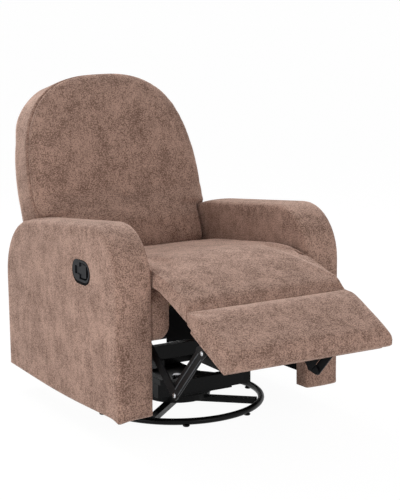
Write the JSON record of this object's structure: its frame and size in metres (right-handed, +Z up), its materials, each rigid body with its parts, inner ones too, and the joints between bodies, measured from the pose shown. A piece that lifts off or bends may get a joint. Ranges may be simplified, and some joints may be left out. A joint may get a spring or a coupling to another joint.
{
  "type": "rocker recliner",
  "caption": "Upholstered rocker recliner with an arched back, padded arms, a recessed side handle, a fold-out footrest on a steel linkage and a swivel ring base.",
  "frame": {"origin": "on the floor, under the middle of the chair's overall box with its footrest raised", "axes": "+X towards the sitter's left, +Y towards the chair's back, +Z up"},
  "size_m": [0.7933, 1.4093, 1.0348],
  "materials": {
    "upholstery": "soft woven chenille with a short nap",
    "dust_cloth": "matt non-woven cloth",
    "black_steel": "black satin paint",
    "zinc": "zinc plated",
    "plywood": "raw plywood",
    "charcoal_plastic": "satin moulded plastic",
    "glide": "moulded nylon"
  },
  "bodies": {
    "base": {"base_ring": "black_steel", "base_cross": "black_steel", "floor_glide_1": "glide", "floor_glide_2": "glide", "floor_glide_3": "glide", "floor_glide_4": "glide", "floor_glide_5": "glide", "floor_glide_6": "glide", "swivel_lower_race": "black_steel", "king_bolt": "zinc"},
    "turntable": {"swivel_upper_race": "black_steel", "turntable_plate": "black_steel", "front_cross_rail": "black_steel", "rear_cross_rail": "black_steel", "base_rail_left": "black_steel", "base_rail_right": "black_steel", "rocker_spring_left": "zinc", "rocker_spring_right": "zinc"},
    "seat_frame": {"rocker_cam_left": "black_steel", "rocker_cam_right": "black_steel", "front_cross_tube": "black_steel", "rear_cross_tube": "black_steel", "side_plate_left": "black_steel", "side_plate_right": "black_steel", "seat_rail_left": "upholstery", "seat_rail_right": "upholstery", "seat_front_cross": "plywood", "seat_rear_cross": "plywood", "seat_deck": "plywood", "dust_cover": "dust_cloth", "seat_cushion": "upholstery", "arm_cover_left": "upholstery", "arm_cover_right": "upholstery", "arm_frame_left": "plywood", "arm_frame_right": "plywood", "handle_cup": "charcoal_plastic", "handle_pin": "zinc", "back_bolt_left": "zinc", "back_bolt_right": "zinc"},
    "handle": {"handle_lever": "charcoal_plastic"},
    "back": {"back_frame": "plywood", "back_cushion": "upholstery", "back_cover": "upholstery", "back_bracket_left": "black_steel", "back_bracket_right": "black_steel"},
    "rear_links": {"rear_link_left": "black_steel", "rear_link_right": "black_steel", "torque_tube": "black_steel"},
    "front_links": {"front_link_left": "black_steel", "front_link_right": "black_steel"},
    "upper_links": {"upper_link_left": "black_steel", "upper_link_right": "black_steel"},
    "footrest": {"footrest_board": "upholstery", "footrest_pad": "upholstery", "footrest_bracket_left": "black_steel", "footrest_bracket_right": "black_steel"},
    "chaise": {"chaise_pad": "upholstery"}
  },
  "joints": [
    {"name": "swivel", "type": "hinge", "parent": "base", "child": "turntable", "pos_m": [0, 0.076, 0], "axis": [0, 0, 1], "continuous": true},
    {"name": "rock", "type": "hinge", "parent": "turntable", "child": "seat_frame", "pos_m": [0, 0.076, 0.5946], "axis": [1, 0, 0], "range_deg": [-7, 7], "stiffness_Nm_per_rad": 400, "springref_deg": 0.86, "deforming": ["rocker_spring_left", "rocker_spring_right"]},
    {"name": "back_recline", "type": "hinge", "parent": "seat_frame", "child": "back", "pos_m": [0, 0.3998, 0.34047], "axis": [-1, 0, 0], "range_deg": [0, 36]},
    {"name": "rear_link_swing", "type": "hinge", "parent": "seat_frame", "child": "rear_links", "pos_m": [0, -0.175, 0.302], "axis": [1, 0, 0], "range_deg": [0, 70.56]},
    {"name": "knee_fold", "type": "hinge", "parent": "rear_links", "child": "front_links", "pos_m": [0, -0.3585, 0.1697], "axis": [1, 0, 0], "range_deg": [-79.7, 0]},
    {"name": "footrest_fold", "type": "hinge", "parent": "front_links", "child": "footrest", "pos_m": [0, -0.51838, 0.33479], "axis": [1, 0, 0], "range_deg": [0, 75.14]},
    {"name": "upper_link_swing", "type": "hinge", "parent": "rear_links", "child": "upper_links", "pos_m": [0, -0.33108, 0.1748], "axis": [1, 0, 0], "range_deg": [-81.77, 0]},
    {"name": "chaise_fold", "type": "hinge", "parent": "seat_frame", "child": "chaise", "pos_m": [0, -0.269, 0.505], "axis": [1, 0, 0], "range_deg": [0, 52.37], "deforming": ["chaise_pad"]},
    {"name": "handle_pull", "type": "hinge", "parent": "seat_frame", "child": "handle", "pos_m": [-0.391, -0.009, 0.504], "axis": [0, 0, -1], "range_deg": [0, 35], "stiffness_Nm_per_rad": 0.6}
  ],
  "couplings": [
    {"joint": "rear_link_swing", "follows": "footrest_fold", "ratio": 0.93885},
    {"joint": "knee_fold", "follows": "footrest_fold", "ratio": -1.0605},
    {"joint": "upper_link_swing", "follows": "footrest_fold", "ratio": -1.0879},
    {"joint": "chaise_fold", "follows": "footrest_fold", "ratio": 0.69671}
  ]
}
